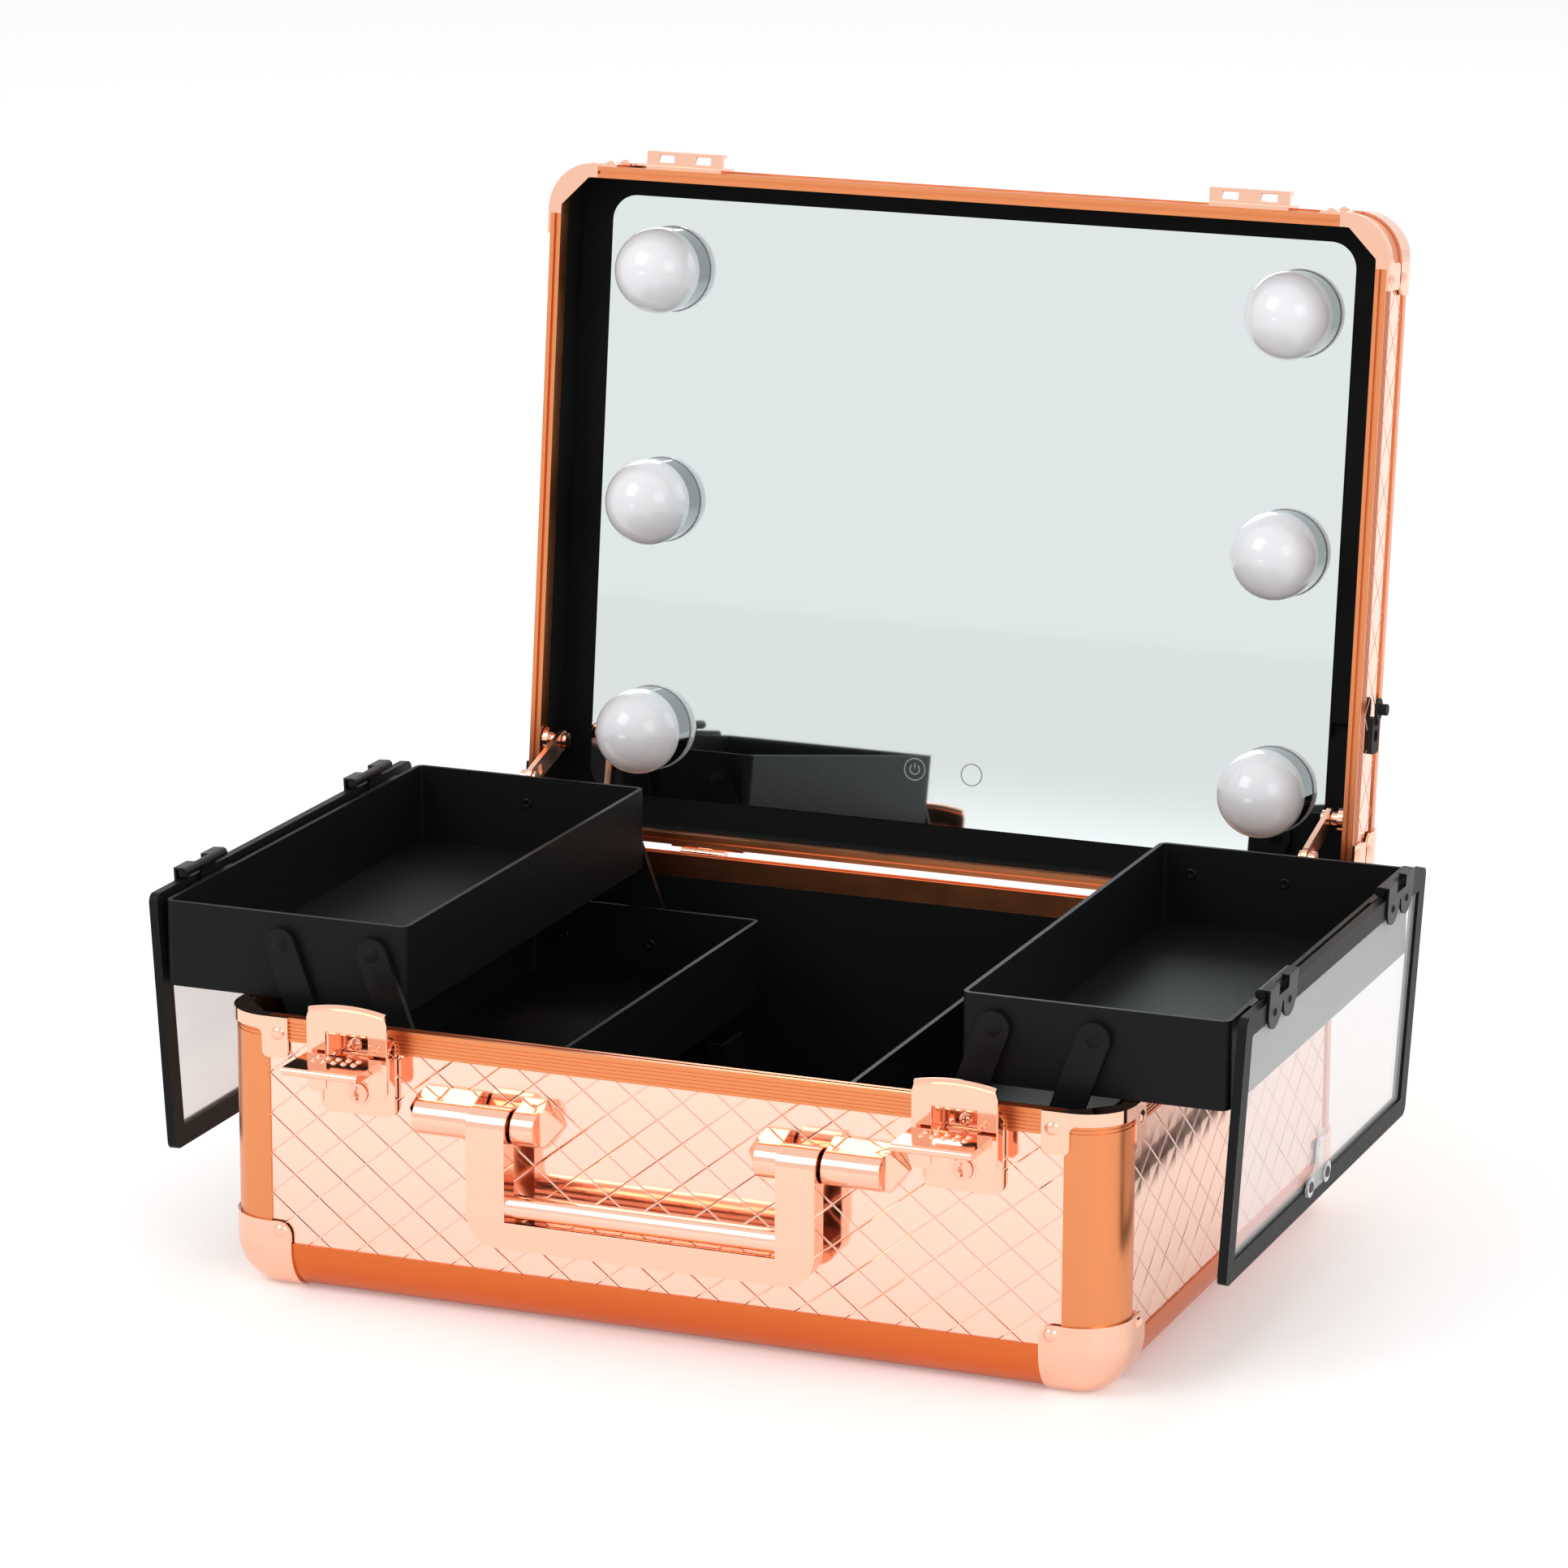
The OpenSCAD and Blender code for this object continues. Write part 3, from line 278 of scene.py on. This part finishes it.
def dressNodes():
    slots = {part["node"]: part["material_slot"] for part in frame["record"]["subparts"]}
    for name, piece in nodes.items():
        finish = finishes[nodeFinish.get(name, slots[name])]
        piece.data.materials.clear()
        piece.data.materials.append(finish)


dressNodes()
print("finishes set")

# making and softening of pieces

softening = {"weld": 0.00001, "flat": 0.8, "corner": 40}


def finishPiece(name, bm, body, finish, sharp=35):
    mesh = bpy.data.meshes.new(name)
    bm.normal_update()
    for face in bm.faces:
        face.smooth = True
    for edge in bm.edges:
        if len(edge.link_faces) == 2 and edge.calc_face_angle(0) > math.radians(sharp):
            edge.smooth = False
    bm.to_mesh(mesh)
    bm.free()
    piece = bpy.data.objects.new(name, mesh)
    bpy.context.scene.collection.objects.link(piece)
    mesh.materials.append(finishes[finish])
    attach(piece, body)
    return piece


def softenEdge(piece, width, segments=2):
    soft = piece.modifiers.new("edge", "BEVEL")
    soft.width = width * mm
    soft.segments = segments
    soft.limit_method = "ANGLE"
    soft.angle_limit = math.radians(softening["corner"])
    soft.harden_normals = True


# softened copies of the cast fittings


def softCopy(node, body, width):
    bm = bmesh.new()
    bm.from_mesh(nodes[node].data)
    bmesh.ops.remove_doubles(bm, verts=bm.verts, dist=softening["weld"])
    flat = math.radians(softening["flat"])
    bmesh.ops.dissolve_limit(bm, angle_limit=flat, verts=bm.verts, edges=bm.edges)
    slot = [p["material_slot"] for p in frame["record"]["subparts"] if p["node"] == node][0]
    piece = finishPiece(node + "_soft", bm, body, slot, 30)
    softenEdge(piece, width, 3)
    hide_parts(node)


edgeRounding = {"handle_frame": ("handle", 1.4), "handle_mounts": ("base", 0.8),
                "latch_plates": ("base", 0.4), "lid_catches": ("lid", 0.5)}
leverRounding = 0.4
for node, (body, width) in edgeRounding.items():
    softCopy(node, body, width)
for side in sides:
    softCopy("latch_lever_" + side, "latch_lever_" + side, leverRounding)
print("fittings softened")

# small turned and cut pieces

fullTurn = 2 * math.pi
seam = 0.000002  # points closer than this are one point


def spinProfile(bm, outline, place, steps=28, angle=fullTurn, closed=True):
    verts = [bm.verts.new(place @ Vector((r * mm, 0, z * mm))) for r, z in outline]
    pairs = list(zip(verts, verts[1:])) + ([(verts[-1], verts[0])] if closed else [])
    edges = [bm.edges.new(pair) for pair in pairs]
    full = angle == fullTurn
    bmesh.ops.spin(bm, geom=verts + edges, cent=place.to_translation(), dvec=(0, 0, 0),
                   axis=place.to_3x3() @ Vector((0, 0, 1)), angle=angle, steps=steps, use_merge=full)
    if not full:
        bmesh.ops.holes_fill(bm, edges=[e for e in bm.edges if e.is_boundary], sides=len(outline))


def cutPlate(bm, outline, place, thick):
    face = bm.faces.new([bm.verts.new(place @ Vector((u * mm, v * mm, 0))) for u, v in outline])
    grown = bmesh.ops.extrude_face_region(bm, geom=[face])["geom"]
    lift = (place.to_3x3() @ Vector((0, 0, 1))) * thick * mm
    bmesh.ops.translate(bm, verts=[g for g in grown if isinstance(g, bmesh.types.BMVert)], vec=lift)


def tubeAlong(bm, points, radius, around=12):
    rings = []
    for step, point in enumerate(points):
        ahead = points[min(step + 1, len(points) - 1)] - points[max(step - 1, 0)]
        turn = ahead.to_track_quat("Z", "Y").to_matrix().to_4x4()
        place = Matrix.Translation(point) @ turn
        ring = bmesh.ops.create_circle(bm, segments=around, radius=radius * mm, matrix=place)
        rings.append({edge for vert in ring["verts"] for edge in vert.link_edges})
    for first, second in zip(rings, rings[1:]):
        bmesh.ops.bridge_loops(bm, edges=list(first | second))
    bmesh.ops.holes_fill(bm, edges=[e for e in bm.edges if e.is_boundary], sides=around)


def closeUp(bm):
    bmesh.ops.remove_doubles(bm, verts=bm.verts, dist=seam)
    bmesh.ops.recalc_face_normals(bm, faces=bm.faces)


def millimetres(x, y, z):
    return Matrix.Translation((x * mm, y * mm, z * mm))


# touch marks on the mirror

touchMarks = {"switch": -17.2, "plain": 10.6, "y": 112.3, "glass": 146.8, "ring": 5.0, "line": 0.5,
              "proud": 0.12, "arc": 2.3, "gap": 75, "bar": (0.3, 2.9), "ringSteps": 48, "arcSteps": 32}


def markPlace(x):
    faceOut = Matrix.Rotation(math.pi, 4, "X")
    return opened @ millimetres(x, touchMarks["y"], touchMarks["glass"]) @ faceOut


def ringOutline(radius, line, proud):
    inner, outer = radius - line / 2, radius + line / 2
    return [(inner, 0), (outer, 0), (outer, proud), (inner, proud)]


def addTouchMarks():
    proud, line = touchMarks["proud"], touchMarks["line"]
    for name in ("switch", "plain"):
        bm = bmesh.new()
        place = markPlace(touchMarks[name])
        spinProfile(bm, ringOutline(touchMarks["ring"], line, proud), place, touchMarks["ringSteps"])
        if name == "switch":
            start = math.radians(90 + touchMarks["gap"] / 2)
            begin = place @ Matrix.Rotation(start, 4, "Z")
            spinProfile(bm, ringOutline(touchMarks["arc"], line, proud), begin, touchMarks["arcSteps"],
                        math.radians(360 - touchMarks["gap"]))
            foot, tip = touchMarks["bar"]
            half = line / 2
            cutPlate(bm, [(-half, foot), (half, foot), (half, tip), (-half, tip)], place, proud)
        closeUp(bm)
        finishPiece("touch_mark_" + name, bm, "lid", "mark")


addTouchMarks()

# hollow rivets seen inside the trays

trayRivets = {"rim": [(0.9, 0), (2.5, 0), (2.4, 0.5), (1.9, 0.85), (1.3, 0.75), (0.9, 0.3)], "gap": 43,
              "upper": {"x": 139, "z": 147.5, "front": -129, "back": 121},
              "lower": {"x": 117.73, "z": 89.05, "front": -122, "back": 114}}


def addTrayRivets():
    for level in ("upper", "lower"):
        at = trayRivets[level]
        for side, sign in sides.items():
            bm = bmesh.new()
            for end, turn in (("front", -90), ("back", 90)):
                for step in (0, trayRivets["gap"]):
                    place = millimetres(sign * (at["x"] + step), at[end], at["z"])
                    spinProfile(bm, trayRivets["rim"], place @ Matrix.Rotation(math.radians(turn), 4, "X"))
            closeUp(bm)
            finishPiece(f"{level}_tray_rivets_{side}", bm, f"{level}_tray_{side}", "link")


addTrayRivets()

# clasps at the free edge of the flaps

clasp = {"axis": (242.4, 165.1), "lean": 3.4, "face": 3.4, "y": -10, "drop": 106.7, "apart": 11.5,
         "sheet": 0.6, "clear": 0.02, "rounding": 0.2,
         "washer": [(2.4, 0), (4.6, 0), (4.6, 0.45), (4.3, 0.7), (2.8, 0.7), (2.4, 0.45)],
         "head": [(0, 0), (2.45, 0), (2.4, 0.7), (1.9, 1.2), (1.0, 1.5), (0, 1.55)],
         "tab": [(-16, -3.5), (16, -3.5), (17.2, 0), (15, 4), (8, 5.5), (5.6, 9), (5.6, 19), (3.6, 22.5),
                 (-3.6, 22.5), (-5.6, 19), (-5.6, 9), (-8, 5.5), (-15, 4), (-17.2, 0)]}


def flapPlace(sign):
    x, z = clasp["axis"]
    hang = millimetres(x, 0, z) @ Matrix.Rotation(math.radians(clasp["lean"]), 4, "Y")
    return Matrix.Diagonal((sign, 1, 1, 1)) @ hang


def addClasps():
    faceOut = Matrix(((0, 0, 1, 0), (1, 0, 0, 0), (0, 1, 0, 0), (0, 0, 0, 1)))
    for side, sign in sides.items():
        hang = flapPlace(sign)
        bm = bmesh.new()
        place = hang @ millimetres(clasp["face"] + clasp["clear"], clasp["y"], -clasp["drop"]) @ faceOut
        cutPlate(bm, clasp["tab"], place, clasp["sheet"])
        closeUp(bm)
        tab = finishPiece("clasp_tab_" + side, bm, "flap_" + side, "window")
        softenEdge(tab, clasp["rounding"])
        for part, finish in (("washer", "washer"), ("head", "bracket")):
            bm = bmesh.new()
            for along in (-clasp["apart"], clasp["apart"]):
                seat = millimetres(clasp["face"] + clasp["sheet"], clasp["y"] + along, -clasp["drop"])
                place = hang @ seat @ faceOut
                spinProfile(bm, clasp[part], place, closed=part == "washer")
            closeUp(bm)
            finishPiece(f"clasp_{part}_{side}", bm, "flap_" + side, finish)


addClasps()

# draw bails with an arched, rolled top

bail = {"x": 135, "half": 18.5, "low": 96, "top": 133.2, "arch": 2.2, "front": -167.5, "thick": 1.6,
        "window": 9.75, "windowTop": 122.6, "corner": 2, "shoulder": 3, "steps": 12, "rounding": 0.35,
        "roll": 1.5, "rollIn": 1.2, "lip": (-8.6, -7.6, 7.6, 8.6), "lipIn": 1.6, "lipDrop": 0.4,
        "lipRadius": 1.0, "pin": (-166.5, 108), "pinRadius": 1.5}


def archHeight(u):
    return bail["top"] - bail["arch"] * (u / bail["half"]) ** 2


def addBails():
    half, window, low, corner = bail["half"], bail["window"], bail["low"], bail["corner"]
    back = bail["front"] * mm + bail["thick"] * mm
    standing = Matrix(((1, 0, 0, 0), (0, 0, -1, back), (0, 1, 0, 0), (0, 0, 0, 1)))
    across = [half - 1 - (2 * half - 2) * k / bail["steps"] for k in range(bail["steps"] + 1)]
    shoulder = archHeight(half) - bail["shoulder"]
    outline = [(-window, low + corner), (-window, bail["windowTop"]), (window, bail["windowTop"]),
               (window, low + corner), (window + corner, low), (half - corner, low), (half, low + corner)]
    outline += [(half, shoulder)] + [(u, archHeight(u)) for u in across] + [(-half, shoulder)]
    outline += [(-half, low + corner), (-half + corner, low), (-window - corner, low)]
    lipHeight = bail["windowTop"] - bail["lipDrop"]
    pinY, pinHeight = bail["pin"]
    pinEnds = (-half + 2, -half + 3, half - 3, half - 2)
    tubes = [(bail["front"] + bail["rollIn"], bail["roll"], [(-u, archHeight(-u)) for u in across]),
             (bail["front"] + bail["lipIn"], bail["lipRadius"], [(u, lipHeight) for u in bail["lip"]]),
             (pinY, bail["pinRadius"], [(u, pinHeight) for u in pinEnds])]
    for side, sign in sides.items():
        shift = millimetres(sign * bail["x"], 0, 0)
        bm = bmesh.new()
        cutPlate(bm, outline, shift @ standing, bail["thick"])
        bmesh.ops.triangulate(bm, faces=[f for f in bm.faces if len(f.verts) > 4])
        for y, radius, spots in tubes:
            tubeAlong(bm, [shift @ Vector((u * mm, y * mm, v * mm)) for u, v in spots], radius)
        closeUp(bm)
        piece = finishPiece("bail_" + side, bm, "latch_bail_" + side, "fitting", 30)
        softenEdge(piece, bail["rounding"])
        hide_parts("latch_bail_" + side)


addBails()
print("small pieces added")

# studio

studio = {"floor": (0.93, 0.93, 0.93), "floorRoughness": 0.6, "floorSpecular": 0.2, "floorHalf": 20,
          "lift": 0.2, "world": 0.75, "aim": (0, 0, 0.15),
          "lamps": {"key": ((-1.6, -2.2, 2.4), 1.8, 34), "fill": ((2.4, -1.6, 1.5), 1.6, 16),
                    "rim": ((0.4, 2.6, 2.2), 1.6, 18)}}


def seenOrMirrored(tree):
    path = addNode(tree, "ShaderNodeLightPath")
    through = mathStep(tree, "MAXIMUM", path.outputs["Is Glossy Ray"], path.outputs["Is Transmission Ray"])
    return mathStep(tree, "MAXIMUM", path.outputs["Is Camera Ray"], through)


def addStudio():
    bm = bmesh.new()
    bmesh.ops.create_grid(bm, x_segments=1, y_segments=1, size=studio["floorHalf"])
    mesh = bpy.data.meshes.new("floor")
    bm.to_mesh(mesh)
    bm.free()
    floor = bpy.data.objects.new("floor", mesh)
    bpy.context.scene.collection.objects.link(floor)
    material, tree, shader = newMaterial("paleFloor")
    setSockets(shader, colour=studio["floor"], roughness=studio["floorRoughness"],
               specular=studio["floorSpecular"], glowColour=(1.0, 1.0, 1.0))
    lift = mathStep(tree, "MULTIPLY", seenOrMirrored(tree), studio["lift"])
    tree.links.new(lift, shader.inputs["Emission Strength"])
    mesh.materials.append(material)
    world = bpy.data.worlds.new("studio")
    bpy.context.scene.world = world
    world.use_nodes = True
    tree = world.node_tree
    back = tree.nodes["Background"]
    back.inputs["Color"].default_value = (1, 1, 1, 1)
    rest = mathStep(tree, "MULTIPLY", seenOrMirrored(tree), 1.0 - studio["world"])
    strength = mathStep(tree, "ADD", studio["world"], rest)
    tree.links.new(strength, back.inputs["Strength"])
    for name, (place, size, power) in studio["lamps"].items():
        light = bpy.data.lights.new(name, "AREA")
        light.energy = power
        light.size = size
        lamp = bpy.data.objects.new(name, light)
        bpy.context.scene.collection.objects.link(lamp)
        lamp.location = place
        aim = Vector(studio["aim"]) - Vector(place)
        lamp.rotation_euler = aim.to_track_quat("-Z", "Y").to_euler()


view = {"distance": 2671.9, "azimuth": 21.89, "elevation": 14.48, "roll": 0.16, "target": (-6.18, 0, 202.96),
        "focal": 7658.86, "pixels": 1932, "sensor": 36, "reach": 50}


def addCamera():
    az, el, roll = (math.radians(view[k]) for k in ("azimuth", "elevation", "roll"))
    back = Vector((math.sin(az) * math.cos(el), -math.cos(az) * math.cos(el), math.sin(el)))
    right = Vector((math.cos(az), math.sin(az), 0))
    up = Vector((-math.sin(az) * math.sin(el), math.cos(az) * math.sin(el), math.cos(el)))
    rightRolled = right * math.cos(roll) + up * math.sin(roll)
    upRolled = up * math.cos(roll) - right * math.sin(roll)
    place = Vector(view["target"]) * mm + back * view["distance"] * mm
    data = bpy.data.cameras.new("camera")
    data.sensor_width = view["sensor"]
    data.sensor_fit = "HORIZONTAL"
    data.lens = view["focal"] / view["pixels"] * view["sensor"]
    data.clip_end = view["reach"]
    camera = bpy.data.objects.new("camera", data)
    bpy.context.scene.collection.objects.link(camera)
    turn = Matrix((rightRolled, upRolled, back)).transposed().to_4x4()
    camera.matrix_world = Matrix.Translation(place) @ turn
    bpy.context.scene.camera = camera


addStudio()
addCamera()
bpy.context.scene.view_settings.view_transform = "Standard"
print("studio ready")
